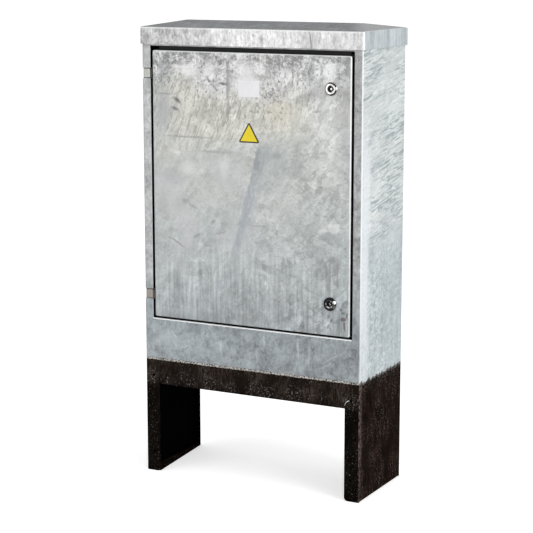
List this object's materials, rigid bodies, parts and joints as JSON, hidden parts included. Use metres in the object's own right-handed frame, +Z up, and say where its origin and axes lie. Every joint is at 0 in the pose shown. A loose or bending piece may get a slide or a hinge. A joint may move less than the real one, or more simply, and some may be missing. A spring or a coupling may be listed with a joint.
{
  "type": "feeder pillar",
  "caption": "Free-standing galvanised outdoor electrical cabinet on two open legs, with a hipped roof, a side-hung door with quarter-turn locks and a switchgear board inside.",
  "frame": {"origin": "on the ground, under the middle of the cabinet", "axes": "+Z up, -Y out of the door, +X to the right as seen from the front"},
  "size_m": [0.608, 0.258, 1.148],
  "materials": {
    "galvanised_sheet": "satin",
    "hinge_zinc": "matte",
    "zinc_plate": "satin",
    "lock_chrome": "polished",
    "seal_rubber": "matte",
    "label_white": "satin",
    "sign_yellow": "satin",
    "board_ply": "matte",
    "device_grey": "matte",
    "toggle_black": "matte",
    "post_insulator": "matte",
    "bar_brass": "satin"
  },
  "bodies": {
    "cabinet": {"left_leg": "galvanised_sheet", "right_leg": "galvanised_sheet", "left_side": "galvanised_sheet", "right_side": "galvanised_sheet", "back_panel": "galvanised_sheet", "front_fascia": "galvanised_sheet", "head_rail": "galvanised_sheet", "roof_canopy": "galvanised_sheet", "door_seal": "seal_rubber", "upper_hinge_lugs": "hinge_zinc", "lower_hinge_lugs": "hinge_zinc", "upper_hinge_pin": "hinge_zinc", "lower_hinge_pin": "hinge_zinc", "upper_board_channel": "galvanised_sheet", "lower_board_channel": "galvanised_sheet", "mounting_board": "board_ply", "board_bolts": "zinc_plate", "din_rail": "zinc_plate", "main_switch": "device_grey", "breaker_1": "device_grey", "breaker_2": "device_grey", "breaker_3": "device_grey", "neutral_bar": "bar_brass", "neutral_bar_posts": "post_insulator", "neutral_bar_screws": "bar_brass", "earth_bar": "bar_brass", "earth_bar_posts": "post_insulator", "earth_bar_screws": "bar_brass", "cable_rail": "galvanised_sheet", "body_earth_stud": "zinc_plate"},
    "door": {"door_panel": "galvanised_sheet", "door_stiffener": "galvanised_sheet", "upper_hinge_leaf": "hinge_zinc", "lower_hinge_leaf": "hinge_zinc", "label_plate": "label_white", "sign_plate": "sign_yellow", "door_earth_stud": "zinc_plate", "upper_lock_body": "lock_chrome", "upper_lock_nut": "zinc_plate", "lower_lock_body": "lock_chrome", "lower_lock_nut": "zinc_plate"},
    "upper_lock": {"upper_lock_rotor": "lock_chrome", "upper_lock_cam": "zinc_plate", "upper_lock_cam_screw": "zinc_plate"},
    "lower_lock": {"lower_lock_rotor": "lock_chrome", "lower_lock_cam": "zinc_plate", "lower_lock_cam_screw": "zinc_plate"},
    "main_switch_lever": {"main_switch_toggle": "toggle_black"},
    "breaker_1_lever": {"breaker_1_toggle": "toggle_black"},
    "breaker_2_lever": {"breaker_2_toggle": "toggle_black"},
    "breaker_3_lever": {"breaker_3_toggle": "toggle_black"}
  },
  "joints": [
    {"name": "door_swing", "type": "hinge", "parent": "cabinet", "child": "door", "pos_m": [-0.292, -0.117, 0.7425], "axis": [0, 0, -1], "range_deg": [0, 180]},
    {"name": "upper_lock_turn", "type": "hinge", "parent": "door", "child": "upper_lock", "pos_m": [0.2194, -0.125, 0.9995], "axis": [0, -1, 0], "range_deg": [0, 90]},
    {"name": "lower_lock_turn", "type": "hinge", "parent": "door", "child": "lower_lock", "pos_m": [0.2194, -0.125, 0.4855], "axis": [0, -1, 0], "range_deg": [0, 90]},
    {"name": "main_switch_throw", "type": "hinge", "parent": "cabinet", "child": "main_switch_lever", "pos_m": [0, 0.0205, 0.857], "axis": [-1, 0, 0], "range_deg": [0, 70]},
    {"name": "breaker_1_throw", "type": "hinge", "parent": "cabinet", "child": "breaker_1_lever", "pos_m": [0, 0.0205, 0.857], "axis": [-1, 0, 0], "range_deg": [0, 70]},
    {"name": "breaker_2_throw", "type": "hinge", "parent": "cabinet", "child": "breaker_2_lever", "pos_m": [0, 0.0205, 0.857], "axis": [-1, 0, 0], "range_deg": [0, 70]},
    {"name": "breaker_3_throw", "type": "hinge", "parent": "cabinet", "child": "breaker_3_lever", "pos_m": [0, 0.0205, 0.857], "axis": [-1, 0, 0], "range_deg": [0, 70]}
  ]
}
